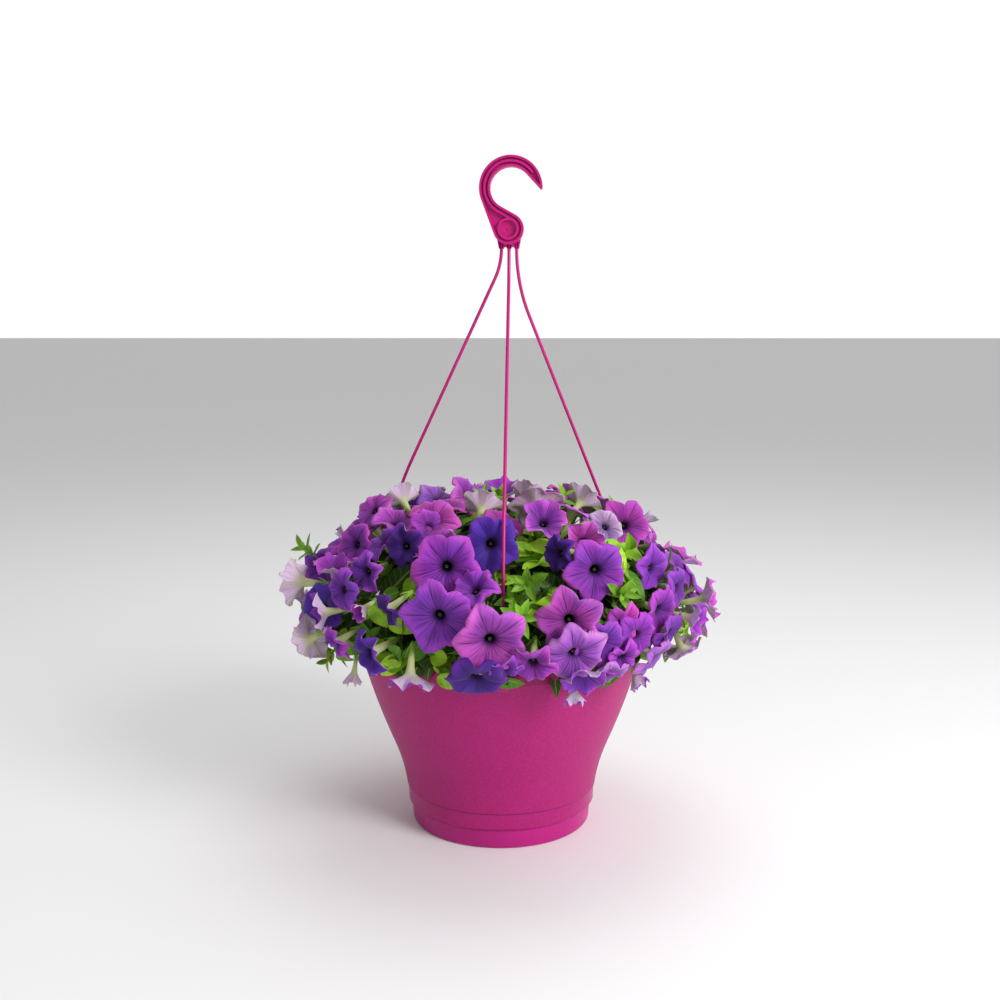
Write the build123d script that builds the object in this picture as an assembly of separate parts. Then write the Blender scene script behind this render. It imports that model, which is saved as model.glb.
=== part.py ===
from build123d import *
import os
from math import asin, atan2, cos, degrees, hypot, pi, radians, sin, sqrt, tan

# Planted hanging basket: a moulded pot with a push-on drip saucer, carried by three
# clip-on rods that meet in a head with a swivelling hook, and filled with compost and
# three petunia plants.
#
# Frame: millimetres, +Z up, origin at the centre of the saucer's underside, which is the
# face the basket stands on. The front of the basket faces -Y.

os.makedirs("parts", exist_ok=True)

# ---- driving dimensions ----
CLEAR = 0.3  # gap left between pieces that only touch
WALL = 2.0  # pot wall

# pot, from the floor up
RIM_TOP_Z = 200.0
RIM_R = 150.0  # outer radius at the top of the collar
COLLAR_HEIGHT = 16.0
COLLAR_TAPER = 1.0  # the collar is this much narrower at its lower edge
BODY_FOOT_Z = 38.6  # where the plain body starts, above the foot band
COLLAR_LEDGE = 2.8  # the collar stands this far out from the wall under it
BEND_ABOVE_FOOT = 49.4  # from there up the wall stops flaring and starts to stand up
LEAN_FOOT, LEAN_RIM = 8.0, 15.0  # the wall's lean from upright at both ends, degrees
BAND_STEP = 1.1  # the foot band is set back this much under the body
BAND_TAPER = 0.5
BAND_BEVEL = 3.0
SHOULDER_Z = 19.4  # underside of the band, where the saucer's rim stops
BODY_PROUD = 5.0  # the body's foot stands this far out from the saucer
PLUG_TAPER = 3.2  # the plug that goes into the saucer narrows by this much
FLOOR_Z = 9.0  # top of the pot's floor
FLOOR_THICK = 2.0
DRAIN_COUNT, DRAIN_R, DRAIN_INSET = 8, 4.0, 33.0
PAD_COUNT, PAD_INSET = 6, 14.0  # pads under the floor that rest in the saucer
PAD_LENGTH, PAD_WIDTH = 14.0, 3.0

# drip saucer
SAUCER_WALL = 1.8
SAUCER_TOP_R = 94.2
SAUCER_TAPER = 1.6
SAUCER_ROUND = 3.0
SAUCER_FIT = 0.8  # gap between the plug and the saucer's wall

# compost, and the root balls set into it
SOIL_DEPTH_BELOW_RIM = 15.0
ROOT_RING_R = 66.0
ROOT_TOP_R, ROOT_FOOT_R = 27.0, 20.0
ROOT_FOOT_Z = 118.0

# hanger: three rods from the rim to the head
ROD_R = 1.7
ROD_NAMES = ("front", "right", "left")
ROD_SIDES = (0, 1, -1)  # the front rod leaves the middle of the head
ROD_FIRST_AZIMUTH = -89.5
ROD_TOP_BENDS = (85.0, 150.0, 62.0)  # radii under the head, one for each rod
ROD_BEND_SHARE = 0.74  # both bends' radii together, as a share of the most that fits
CLIP_WIDTH = 10.0
CLIP_THICK = 1.8
CLIP_GAP = 0.4  # between clip and collar
CLIP_NIB_REACH = 1.0  # how far the nib goes under the collar
CLIP_NIB_GAP = 0.6
CLIP_NIB_HEIGHT = 4.0
CLIP_TONGUE_REACH = 3.0  # how far the tongue lies over the rim
ROD_ON_CLIP = 12.0  # length of rod moulded onto the clip

# head and hook
HUB_X, HUB_ABOVE_RIM = 7.6, 408.9  # swivel centre
HEAD_TURN = -4.0  # the head's face is turned this many degrees about Z
HOOK_THICK = 11.0
HOOK_WALL = 2.3
HOOK_RIB = 2.3
WEB_THICK = 2.0
HUB_R = 15.2
BOSS_OUTER_R, BOSS_INNER_R = 10.7, 8.3
CROOK_X, CROOK_Z = 2.4, 39.4  # centre of the crook above the swivel centre
CROOK_OUTER_R, CROOK_INNER_R = 31.3, 20.4
TIP_ANGLE = 43.0  # where the straight inner edge leaves the crook's round
TIP_ROUND = 1.5
RIB_END_ANGLE = 33.0
GATE_R, GATE_HEIGHT = 1.0, 1.2  # moulding gate's mark in the boss
HEAD_GAP = 0.4  # running gap between hook and head
HEAD_R = 14.4
HEAD_BACK_WALL = 2.0
HEAD_SKIRT_FLARE = 2.4  # the skirt is this much wider at the top, each side
HEAD_SIDE_WALL = 0.5  # beside the outer rods at the skirt's foot
HEAD_SKIRT_LENGTH = 9.0  # below the rods' ball ends
HEAD_FRONT_WALL = 0.55  # in front of the balls
HEAD_SKIRT_DROP = 6.5  # where the skirt leaves the round, below the swivel centre
HEAD_ARCH_R = 1.6  # arches in the lower edge between the rods
BALL_R = 2.6
BALL_ROOM = 0.35
BALL_WALL = 1.7  # between neighbouring pockets
SLOT_ROOM = 0.25
PIN_R = 3.6
PIN_CLEAR = 0.08
PIN_WALL = 2.9  # between the pin's hole and the pockets
PIN_LIP = 0.8
PIN_SPLIT = 1.6
PIN_LIP_LENGTH = 1.4

# petunia plants: plain soft bodies that fill the space of the leaves and flowers
PLANT_NAMES = ("front_right", "back", "front_left")
PLANT_ABOVE_RIM = 146.0
PLANT_OVERHANG = 63.0  # beyond the rim
PLANT_WIDEST_ABOVE_RIM = 28.0
PLANT_FULLNESS = 1.04  # 1 makes the top half an ellipse
PLANT_DRAPE = 32.0  # the lowest trailing growth is this far below the rim
PLANT_DRAPE_OUT = 22.0  # and this far outside it
PLANT_BULGE = 10.0
PLANT_RIM_GAP = 3.0
PLANT_LIFT = 1.5  # gap between compost and leaves
PLANT_PARTING = 12.0  # the plants part this wide where a rod comes through
FLOWER_DEPTH = 22.0


# ---- dimensions that follow ----
def bend_lean(run, lower, upper):
    """The lean at the bend, in degrees, that takes the wall out by run: each arc goes out
    by its height times the tangent of its middle lean."""
    low, high = 0.0, 80.0
    while high - low > 1e-9:
        lean = (low + high) / 2
        out = lower * tan(radians(LEAN_FOOT + lean) / 2) + upper * tan(radians(LEAN_RIM + lean) / 2)
        low, high = (lean, high) if out < run else (low, lean)
    return lean


COLLAR_FOOT_Z = RIM_TOP_Z - COLLAR_HEIGHT
BODY_FOOT_R = SAUCER_TOP_R + BODY_PROUD
BEND_Z = BODY_FOOT_Z + BEND_ABOVE_FOOT
SAUCER_FOOT_R = SAUCER_TOP_R - SAUCER_TAPER
PLUG_TOP_R = SAUCER_TOP_R - SAUCER_WALL - SAUCER_FIT
PLUG_FOOT_R = PLUG_TOP_R - PLUG_TAPER
COLLAR_FOOT_R = RIM_R - COLLAR_TAPER
LEAN_BEND = bend_lean(
    COLLAR_FOOT_R - COLLAR_LEDGE - BODY_FOOT_R, BEND_ABOVE_FOOT, COLLAR_FOOT_Z - BEND_Z
)
SOIL_TOP_Z = RIM_TOP_Z - SOIL_DEPTH_BELOW_RIM
BAND_TOP_R = BODY_FOOT_R - BAND_STEP
BAND_FOOT_R = BAND_TOP_R - BAND_TAPER
HUB_Z = RIM_TOP_Z + HUB_ABOVE_RIM
HEAD_FRAME = Location((HUB_X, 0, HUB_Z), (0, 0, HEAD_TURN))
ROD_AZIMUTHS = [ROD_FIRST_AZIMUTH + 360 / len(ROD_NAMES) * i for i in range(len(ROD_NAMES))]
CLIP_INNER_R = RIM_R + CLIP_GAP
CLIP_OUTER_R = CLIP_INNER_R + CLIP_THICK
ROD_FOOT_R = CLIP_INNER_R + ROD_R + CLIP_THICK / 4  # sunk into the clip, proud of its face
POCKET_R = BALL_R + BALL_ROOM
ROD_SPACING = POCKET_R * 2 + BALL_WALL
BALL_DROP = PIN_R + PIN_CLEAR + PIN_WALL + POCKET_R  # rod ends below the swivel centre
HEAD_FOOT_DROP = BALL_DROP + HEAD_SKIRT_LENGTH
HEAD_DEPTH = HEAD_FRONT_WALL + POCKET_R * 2 + HEAD_BACK_WALL
HEAD_SKIRT_FOOT = ROD_SPACING + ROD_R + SLOT_ROOM + HEAD_SIDE_WALL
HEAD_SKIRT_TOP = HEAD_SKIRT_FOOT + HEAD_SKIRT_FLARE
ROD_PLANE_Y = HEAD_GAP + HEAD_FRONT_WALL + POCKET_R
PLANT_TOP_Z = RIM_TOP_Z + PLANT_ABOVE_RIM
PLANT_WIDEST_Z = RIM_TOP_Z + PLANT_WIDEST_ABOVE_RIM
PLANT_R = RIM_R + PLANT_OVERHANG
PLANT_DRAPE_Z = RIM_TOP_Z - PLANT_DRAPE
PLANT_DRAPE_R = RIM_R + PLANT_DRAPE_OUT
PLANT_AZIMUTHS = [azimuth + 180 / len(ROD_NAMES) for azimuth in ROD_AZIMUTHS]


def wall_arcs(inset):
    """The two arcs of the body's wall, moved inwards by inset: each as (foot, middle,
    top) points in radius and height. The waist curves outwards and the upper wall
    curves back, and they share a tangent at BEND_Z."""
    foot, bend, rim = (sin(radians(a)) for a in (LEAN_FOOT, LEAN_BEND, LEAN_RIM))
    waist_r = (BEND_Z - BODY_FOOT_Z) / (bend - foot)
    upper_r = (COLLAR_FOOT_Z - BEND_Z) / (bend - rim)

    def outward(lean):
        return Vector(cos(radians(lean)), -sin(radians(lean)))

    waist_centre = Vector(BODY_FOOT_R, BODY_FOOT_Z) + outward(LEAN_FOOT) * waist_r
    joint = waist_centre - outward(LEAN_BEND) * waist_r
    upper_centre = joint - outward(LEAN_BEND) * upper_r
    waist = [
        waist_centre - outward(a) * (waist_r + inset)
        for a in (LEAN_FOOT, (LEAN_FOOT + LEAN_BEND) / 2, LEAN_BEND)
    ]
    upper = [
        upper_centre + outward(a) * (upper_r - inset)
        for a in (LEAN_BEND, (LEAN_BEND + LEAN_RIM) / 2, LEAN_RIM)
    ]
    return waist, upper


def revolved(*lines):
    """A solid of revolution about Z from a closed outline in radius (x) and height (y)."""
    return revolve(Plane.XZ * make_face(list(lines)), Axis.Z)


def flat(value):
    return (value.X, value.Y)


def arc(points):
    return ThreePointArc(*[flat(p) for p in points])


def outline_face(points):
    """A face with straight edges through the points, closed back to the first one."""
    return make_face(chain(points + points[:1]))


def chain(points):
    """Straight lines from point to point."""
    return [Line(a, b) for a, b in zip(points, points[1:])]


def pot_shell():
    waist, upper = wall_arcs(0)
    in_waist, in_upper = wall_arcs(WALL)
    foot_inner_r = flat(in_waist[0])[0]
    outer_foot = [
        (0, FLOOR_Z - FLOOR_THICK),
        (PLUG_FOOT_R, FLOOR_Z - FLOOR_THICK),
        (PLUG_TOP_R, SHOULDER_Z),
        (BAND_FOOT_R - BAND_BEVEL, SHOULDER_Z),
        (BAND_FOOT_R, SHOULDER_Z + BAND_BEVEL),
        (BAND_TOP_R, BODY_FOOT_Z),
        flat(waist[0]),
    ]
    collar = [
        flat(upper[2]),
        (COLLAR_FOOT_R, COLLAR_FOOT_Z),
        (RIM_R, RIM_TOP_Z),
        (RIM_R - WALL * 1.5, RIM_TOP_Z),
        flat(in_upper[2]),
    ]
    inner_foot = [
        flat(in_waist[0]),
        (foot_inner_r - BAND_STEP, SHOULDER_Z + WALL + BAND_BEVEL),
        (PLUG_TOP_R - WALL, SHOULDER_Z + WALL),
        (PLUG_FOOT_R - WALL, FLOOR_Z),
        (0, FLOOR_Z),
        (0, FLOOR_Z - FLOOR_THICK),
    ]
    shell = revolved(
        *chain(outer_foot),
        arc(waist),
        arc(upper),
        *chain(collar),
        arc(in_upper[::-1]),
        arc(in_waist[::-1]),
        *chain(inner_foot),
    )
    drain = Cylinder(DRAIN_R, FLOOR_THICK * 4)
    drain_ring_r = PLUG_FOOT_R - DRAIN_INSET
    shell -= Pos(0, 0, FLOOR_Z) * PolarLocations(drain_ring_r, DRAIN_COUNT) * drain
    pad_foot_z = SAUCER_WALL + CLEAR
    pad_height = FLOOR_Z - FLOOR_THICK / 2 - pad_foot_z
    pad = Pos(0, 0, pad_foot_z + pad_height / 2) * Box(PAD_LENGTH, PAD_WIDTH, pad_height)
    shell += [place * pad for place in PolarLocations(PLUG_FOOT_R - PAD_INSET, PAD_COUNT)]
    return shell


def drip_saucer():
    top_z = SHOULDER_Z - CLEAR
    slope = (SAUCER_TOP_R - SAUCER_FOOT_R) / top_z
    inner_foot_r = SAUCER_FOOT_R + slope * SAUCER_WALL - SAUCER_WALL
    dish = revolved(
        *chain(
            [
                (0, 0),
                (SAUCER_FOOT_R, 0),
                (SAUCER_TOP_R, top_z),
                (SAUCER_TOP_R - SAUCER_WALL, top_z),
                (inner_foot_r, SAUCER_WALL),
                (0, SAUCER_WALL),
                (0, 0),
            ]
        )
    )
    rim_edge = dish.edges().filter_by(GeomType.CIRCLE).sort_by(Axis.Z)[0]
    return fillet(rim_edge, SAUCER_ROUND)


def compost():
    in_waist, in_upper = wall_arcs(WALL + CLEAR)
    foot_r = flat(in_waist[0])[0]
    foot = [
        (0, FLOOR_Z + CLEAR),
        (PLUG_FOOT_R - WALL - CLEAR, FLOOR_Z + CLEAR),
        (PLUG_TOP_R - WALL - CLEAR, SHOULDER_Z + WALL + CLEAR),
        (foot_r - BAND_STEP - CLEAR, SHOULDER_Z + WALL + BAND_BEVEL + CLEAR),
        flat(in_waist[0]),
    ]
    body = revolved(
        *chain(foot),
        arc(in_waist),
        arc(in_upper),
        *chain([flat(in_upper[2]), (0, COLLAR_FOOT_Z), (0, FLOOR_Z + CLEAR)]),
    )
    cap_r = flat(in_upper[2])[0]
    cap = Pos(0, 0, COLLAR_FOOT_Z) * Cylinder(
        cap_r, SOIL_TOP_Z - COLLAR_FOOT_Z, align=(Align.CENTER, Align.CENTER, Align.MIN)
    )
    return body + cap - [root_ball(azimuth, CLEAR) for azimuth in PLANT_AZIMUTHS]


def root_ball(azimuth, grow):
    """The tapered plug of roots that each plant was potted on with, grown by a gap."""
    top_z = SOIL_TOP_Z + PLANT_LIFT
    plug = Cone(
        ROOT_FOOT_R + grow,
        ROOT_TOP_R + grow,
        top_z - ROOT_FOOT_Z + grow,
        align=(Align.CENTER, Align.CENTER, Align.MIN),
    )
    return Rot(0, 0, azimuth) * Pos(ROOT_RING_R, 0, ROOT_FOOT_Z - grow) * plug


def rod_clip(azimuth):
    """C-shaped clip that lies against the collar: a nib under it and a tongue over it."""
    nib_top_z = COLLAR_FOOT_Z - CLIP_NIB_GAP
    nib_foot_z = nib_top_z - CLIP_NIB_HEIGHT
    tongue_z = RIM_TOP_Z + CLEAR
    section = revolved(
        *chain(
            [
                (COLLAR_FOOT_R - CLIP_NIB_REACH, nib_foot_z),
                (CLIP_OUTER_R, nib_foot_z),
                (CLIP_OUTER_R, tongue_z + CLIP_THICK),
                (RIM_R - CLIP_TONGUE_REACH, tongue_z + CLIP_THICK),
                (RIM_R - CLIP_TONGUE_REACH, tongue_z),
                (CLIP_INNER_R, tongue_z),
                (CLIP_INNER_R, nib_top_z),
                (COLLAR_FOOT_R - CLIP_NIB_REACH, nib_top_z),
                (COLLAR_FOOT_R - CLIP_NIB_REACH, nib_foot_z),
            ]
        )
    )
    window = Box(RIM_R, CLIP_WIDTH, RIM_TOP_Z * 3, align=(Align.MIN, Align.CENTER, Align.CENTER))
    return Rot(0, 0, azimuth) * (section & Pos(RIM_R / 2, 0, 0) * window)


def rod_top(index):
    """Centre of a rod's ball end. The first rod is in the middle of the head."""
    return (HEAD_FRAME * Pos(ROD_SIDES[index] * ROD_SPACING, ROD_PLANE_Y, -BALL_DROP)).position


def rod_path(top, foot, straight_top_z, top_bend):
    """Upright at both ends, with one arc outwards, a straight stretch and one arc back."""
    run = Vector(foot.X - top.X, foot.Y - top.Y, 0)
    reach, fall = run.length, straight_top_z - foot.Z
    bends = ROD_BEND_SHARE * (fall**2 + reach**2) / (2 * reach)
    foot_bend = bends - top_bend
    # the straight stretch and its lean that make both arcs meet the foot
    straight = sqrt(fall**2 + (reach - bends) ** 2 - bends**2)
    lean = pi / 2 + atan2(bends, straight) - atan2(fall, reach - bends)
    plane = Plane(origin=(top.X, top.Y, 0), x_dir=run, z_dir=run.cross(Vector(0, 0, 1)))

    def at(across, height):
        return plane.from_local_coords(Vector(across, height, 0))

    def swung(radius, angle):
        return radius * (1 - cos(angle)), radius * sin(angle)

    x1, z1 = swung(top_bend, lean)
    xm, zm = swung(top_bend, lean / 2)
    x2, z2 = swung(foot_bend, lean)
    xn, zn = swung(foot_bend, lean / 2)
    return [
        Line(at(0, top.Z), at(0, straight_top_z)),
        ThreePointArc(
            at(0, straight_top_z), at(xm, straight_top_z - zm), at(x1, straight_top_z - z1)
        ),
        Line(at(x1, straight_top_z - z1), at(reach - x2, foot.Z + z2)),
        ThreePointArc(at(reach - x2, foot.Z + z2), at(reach - xn, foot.Z + zn), at(reach, foot.Z)),
        Line(at(reach, foot.Z), at(reach, foot.Z - ROD_ON_CLIP)),
    ]


def hanger_rod(index):
    azimuth = ROD_AZIMUTHS[index]
    top = rod_top(index)
    foot = Vector(
        ROD_FOOT_R * cos(radians(azimuth)), ROD_FOOT_R * sin(radians(azimuth)), RIM_TOP_Z + 2
    )
    path = Wire(rod_path(top, foot, HUB_Z - HEAD_FOOT_DROP, ROD_TOP_BENDS[index]))
    rod = sweep(Plane(origin=top, z_dir=(0, 0, -1)) * Circle(ROD_R), path=path)
    end = Pos(foot.X, foot.Y, foot.Z - ROD_ON_CLIP) * Sphere(ROD_R)
    return rod + end + Pos(*top) * Sphere(BALL_R) + rod_clip(azimuth), path.length


def crossing_tangent(radius_hub, radius_crook):
    """Unit normal of the line that passes the hub on its upper right and the crook's
    circle on its lower left."""
    distance = hypot(CROOK_X, CROOK_Z)
    angle = asin((radius_hub + radius_crook) / distance) - atan2(CROOK_X, CROOK_Z)
    return Vector(cos(angle), sin(angle))


def outer_tangent(radius_hub, radius_crook):
    """Unit normal of the straight left edge, which touches both circles on their left."""
    distance = hypot(CROOK_X, CROOK_Z)
    angle = radians(180) - asin((radius_hub - radius_crook) / distance) - atan2(CROOK_X, CROOK_Z)
    return Vector(cos(angle), sin(angle))


def on_circle(centre, radius, angle):
    return centre + Vector(cos(radians(angle)), sin(radians(angle))) * radius


def hook_outline(inset):
    """The hook's outline moved inwards by inset, as a face in the head's X and Z. The tip
    is sharp: its straight inner edge leaves the crook's round on a tangent."""
    crook, hub = Vector(CROOK_X, CROOK_Z), Vector(0, 0)
    hub_r, outer_r, inner_r = HUB_R - inset, CROOK_OUTER_R - inset, CROOK_INNER_R + inset
    left = outer_tangent(HUB_R, CROOK_OUTER_R)
    slant = crossing_tangent(HUB_R, CROOK_INNER_R)
    left_angle = degrees(atan2(left.Y, left.X)) % 360
    slant_angle = degrees(atan2(slant.Y, slant.X))
    lobe_angle = (left_angle + slant_angle + 360) / 2
    inner_foot = slant_angle + 180
    start = on_circle(crook, inner_r, TIP_ANGLE)
    along = Vector(sin(radians(TIP_ANGLE)), -cos(radians(TIP_ANGLE)))
    tip = start + along * sqrt(outer_r**2 - inner_r**2)
    tip_angle = degrees(atan2(tip.Y - crook.Y, tip.X - crook.X))
    outer = [tip, *[on_circle(crook, outer_r, a) for a in ((tip_angle + left_angle) / 2, left_angle)]]
    lobe = [left * hub_r, on_circle(hub, hub_r, lobe_angle), slant * hub_r]
    inner = [on_circle(crook, inner_r, a) for a in (inner_foot, (inner_foot + TIP_ANGLE) / 2)]
    return make_face(
        [
            arc(outer),
            Line(flat(outer[-1]), flat(lobe[0])),
            arc(lobe),
            Line(flat(lobe[-1]), flat(inner[0])),
            arc([*inner, start]),
            Line(flat(start), flat(tip)),
        ]
    )


def hook_rib():
    """Rib along the middle of the crook, which runs down to touch the boss."""
    crook = Vector(CROOK_X, CROOK_Z)
    rib_r = (CROOK_OUTER_R + CROOK_INNER_R) / 2
    boss_r = (BOSS_OUTER_R + BOSS_INNER_R) / 2
    normal = crossing_tangent(boss_r, rib_r)
    foot_angle = degrees(atan2(normal.Y, normal.X)) + 180
    curve = ThreePointArc(
        flat(on_circle(crook, rib_r, RIB_END_ANGLE)),
        flat(on_circle(crook, rib_r, (RIB_END_ANGLE + foot_angle) / 2)),
        flat(on_circle(crook, rib_r, foot_angle)),
    )
    slope = Line(flat(on_circle(crook, rib_r, foot_angle)), flat(normal * boss_r))
    return trace(Curve() + [curve, slope], line_width=HOOK_RIB)


def upright(face, front_y, back_y):
    """Extrudes a face drawn in X and Z between two depths in the head's frame."""
    return extrude(Plane.XZ.offset(-back_y) * face, back_y - front_y)


def hook():
    """Crook and boss with a rib on both sides of a thin web, and the split pin it turns on."""
    front, back = -HOOK_THICK, 0.0
    middle = (front + back) / 2
    outline = hook_outline(0)
    ring = Circle(BOSS_OUTER_R) - Circle(BOSS_INNER_R)
    pocket = hook_outline(HOOK_WALL) - hook_rib() - ring
    tip = outline.vertices().sort_by(Axis.X)[-1]
    body = upright(fillet(tip, TIP_ROUND), front, back)
    body -= upright(pocket, front, middle - WEB_THICK / 2)
    body -= upright(pocket, middle + WEB_THICK / 2, back)
    body += upright(Circle(GATE_R), middle - WEB_THICK / 2 - GATE_HEIGHT, middle)
    lip_start = HEAD_GAP + HEAD_DEPTH + CLEAR
    lip_end = lip_start + PIN_LIP_LENGTH
    pin = upright(Circle(PIN_R), middle, lip_end)
    pin += upright(Circle(PIN_R + PIN_LIP), lip_start, lip_end)
    split = upright(Rectangle(PIN_SPLIT, PIN_R * 4), HEAD_GAP, lip_end + 1)
    return HEAD_FRAME * (body + (pin - split))


def hanger_head():
    """Plate behind the hook, with three pockets that hold the rods' ball ends."""
    front, back = HEAD_GAP, HEAD_GAP + HEAD_DEPTH
    skirt = outline_face(
        [
            (-HEAD_SKIRT_TOP, -HEAD_SKIRT_DROP),
            (-HEAD_SKIRT_FOOT, -HEAD_FOOT_DROP),
            (HEAD_SKIRT_FOOT, -HEAD_FOOT_DROP),
            (HEAD_SKIRT_TOP, -HEAD_SKIRT_DROP),
        ]
    )
    body = upright(Circle(HEAD_R) + skirt, front, back)
    body -= upright(Circle(PIN_R + PIN_CLEAR), front - 1, back + 1)
    channel = Rectangle((ROD_R + SLOT_ROOM) * 2, HEAD_FOOT_DROP, align=(Align.CENTER, Align.MAX))
    for side in ROD_SIDES:
        centre = Pos(side * ROD_SPACING, ROD_PLANE_Y, -BALL_DROP)
        body -= centre * Sphere(POCKET_R)
        body -= centre * upright(Circle(POCKET_R), front - 1 - ROD_PLANE_Y, 0)
        body -= centre * upright(channel, front - 1 - ROD_PLANE_Y, ROD_R + SLOT_ROOM)
    for side in (-0.5, 0.5):
        arch = Pos(side * ROD_SPACING, -HEAD_FOOT_DROP) * Circle(HEAD_ARCH_R)
        body -= upright(arch, front - 1, back + 1)
    return HEAD_FRAME * body


def mound(inset):
    """The whole mound of growth, its outer face moved inwards by inset: it starts just over
    the compost, goes over the rim and hangs down outside."""
    inner_r = flat(wall_arcs(WALL)[1][2])[0] - PLANT_RIM_GAP
    outer_r = CLIP_OUTER_R + PLANT_RIM_GAP
    lift_z = RIM_TOP_Z + PLANT_RIM_GAP
    base_z = SOIL_TOP_Z + PLANT_LIFT
    widest_r, top_z = PLANT_R - inset, PLANT_TOP_Z - inset
    drape_r, drape_z = PLANT_DRAPE_R - inset / 2, PLANT_DRAPE_Z + inset / 2
    half = sqrt(0.5) * PLANT_FULLNESS
    shoulder = (widest_r * half, PLANT_WIDEST_Z + (top_z - PLANT_WIDEST_Z) * half)
    hang = ((drape_r + widest_r) / 2 + PLANT_BULGE, (drape_z + PLANT_WIDEST_Z) / 2 - PLANT_BULGE)
    under = [
        (0, base_z),
        (inner_r, base_z),
        (inner_r, lift_z),
        (outer_r, lift_z),
        (outer_r, drape_z),
        (drape_r, drape_z),
    ]
    return revolved(
        *chain(under),
        ThreePointArc((drape_r, drape_z), hang, (widest_r, PLANT_WIDEST_Z)),
        ThreePointArc((widest_r, PLANT_WIDEST_Z), shoulder, (0, top_z)),
        Line((0, top_z), (0, base_z)),
    )


def parted(growth):
    """Cuts the mound into one piece for each plant, along the planes of the rods."""
    from_axis = (Align.MIN, Align.CENTER, Align.CENTER)
    gap = Box(PLANT_R * 2, PLANT_PARTING, PLANT_TOP_Z * 3, align=from_axis)
    growth -= [Rot(0, 0, azimuth) * gap for azimuth in ROD_AZIMUTHS]

    def nearest(azimuth):
        outward = Vector(cos(radians(azimuth)), sin(radians(azimuth)), 0)
        return max(growth.solids(), key=lambda solid: solid.center().dot(outward))

    return [nearest(azimuth) for azimuth in PLANT_AZIMUTHS]


def leaves():
    """Leafy heart of each plant, with its root ball."""
    hearts = parted(mound(FLOWER_DEPTH))
    return [heart + root_ball(azimuth, 0) for heart, azimuth in zip(hearts, PLANT_AZIMUTHS)]


def flowers():
    """Layer of flowers over each plant's leaves."""
    heart = mound(FLOWER_DEPTH - CLEAR)
    return [plant - heart for plant in parted(mound(0))]


def main():
    pieces = {
        "pot_shell": pot_shell(),
        "drip_saucer": drip_saucer(),
        "compost": compost(),
        "hook": hook(),
        "hanger_head": hanger_head(),
    }
    for index, name in enumerate(ROD_NAMES):
        pieces[f"hanger_rod_{name}"], length = hanger_rod(index)
        print(name, "rod length", round(length, 1))
    for name, heart, layer in zip(PLANT_NAMES, leaves(), flowers()):
        pieces[f"petunia_leaves_{name}"] = heart
        pieces[f"petunia_flowers_{name}"] = layer
    for name, piece in pieces.items():
        export_step(piece, f"parts/{name}.step")


main()
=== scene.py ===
import math
import random

import bpy
import numpy as np
from mathutils import Euler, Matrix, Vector


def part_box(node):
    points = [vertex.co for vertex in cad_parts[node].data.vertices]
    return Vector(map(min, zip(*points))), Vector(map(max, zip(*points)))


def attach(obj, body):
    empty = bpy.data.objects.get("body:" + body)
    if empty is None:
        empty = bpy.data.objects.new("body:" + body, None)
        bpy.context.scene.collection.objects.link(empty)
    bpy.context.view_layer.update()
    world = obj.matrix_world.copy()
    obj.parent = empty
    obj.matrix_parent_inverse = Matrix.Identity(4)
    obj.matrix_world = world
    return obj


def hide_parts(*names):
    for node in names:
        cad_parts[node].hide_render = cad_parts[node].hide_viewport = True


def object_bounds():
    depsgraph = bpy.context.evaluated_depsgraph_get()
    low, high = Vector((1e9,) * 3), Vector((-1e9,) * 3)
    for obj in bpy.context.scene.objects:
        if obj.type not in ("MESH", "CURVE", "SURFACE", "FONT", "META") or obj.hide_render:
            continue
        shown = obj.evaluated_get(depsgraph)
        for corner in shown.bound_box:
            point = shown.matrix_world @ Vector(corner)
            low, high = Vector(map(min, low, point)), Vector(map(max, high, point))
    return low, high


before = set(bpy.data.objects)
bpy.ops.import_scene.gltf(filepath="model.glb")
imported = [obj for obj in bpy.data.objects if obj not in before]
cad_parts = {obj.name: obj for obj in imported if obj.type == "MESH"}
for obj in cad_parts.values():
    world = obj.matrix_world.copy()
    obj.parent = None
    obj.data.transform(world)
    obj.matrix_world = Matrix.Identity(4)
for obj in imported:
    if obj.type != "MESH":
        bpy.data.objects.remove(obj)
cad_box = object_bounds()
MM = 0.001


# ---- Pot: a flared shell with a collar, injection moulded in magenta polypropylene.
# The tool's body is spark eroded, so the wall is matt and finely grained; the collar and
# the foot band are smooth and catch soft highlights.
POT_COLOUR = "#B21A74"
POT_DEEP = "#AC1870"  # where the wall is thick and less light comes back
COLLAR_COLOUR = "#A3005F"
COLLAR_FOOT = 184 * MM
FOOT_BAND_TOP = 38.6 * MM
SEAM_SHADOW_WIDTH, SEAM_SHADOW_COLOUR = 1.2 * MM, "#5A0A3C"  # painted shadow: the dark line under the body's overhang, and its width
SPARK_GRAIN = 1.4 * MM  # the real grain is about 0.2 mm, drawn coarser so that it shows
SPARK_DEPTH = 0.25 * MM
MATT, POLISHED = 0.52, 0.3  # roughness of the wall, and of the collar and foot band
FLOW_CLOUD = 60 * MM  # how wide the patches of slightly different colour are
EDGE_BLUR = 0.3 * MM  # half the width over which one finish turns into the next
BLOTCH = 0.6  # noise at scale 1 has blotches about this wide, in metres
EASED = {"interpolation_type": "SMOOTHSTEP"}  # a map range that starts and ends gently
PAINT = {"data_type": "RGBA"}  # a mix of two colours


def linear(hex_colour):
    """Turns an sRGB hex colour into linear red, green, blue and alpha."""
    parts = [int(hex_colour[i : i + 2], 16) / 255 for i in (1, 3, 5)]
    return [p / 12.92 if p <= 0.04045 else ((p + 0.055) / 1.055) ** 2.4 for p in parts] + [1.0]


def feed(node, inputs):
    """Fills a node's inputs, in order or by name: a socket is linked, any other value is set."""
    for key, value in inputs.items() if isinstance(inputs, dict) else enumerate(inputs):
        if isinstance(value, bpy.types.NodeSocket):
            node.id_data.links.new(value, node.inputs[key])
        else:
            node.inputs[key].default_value = value


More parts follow.
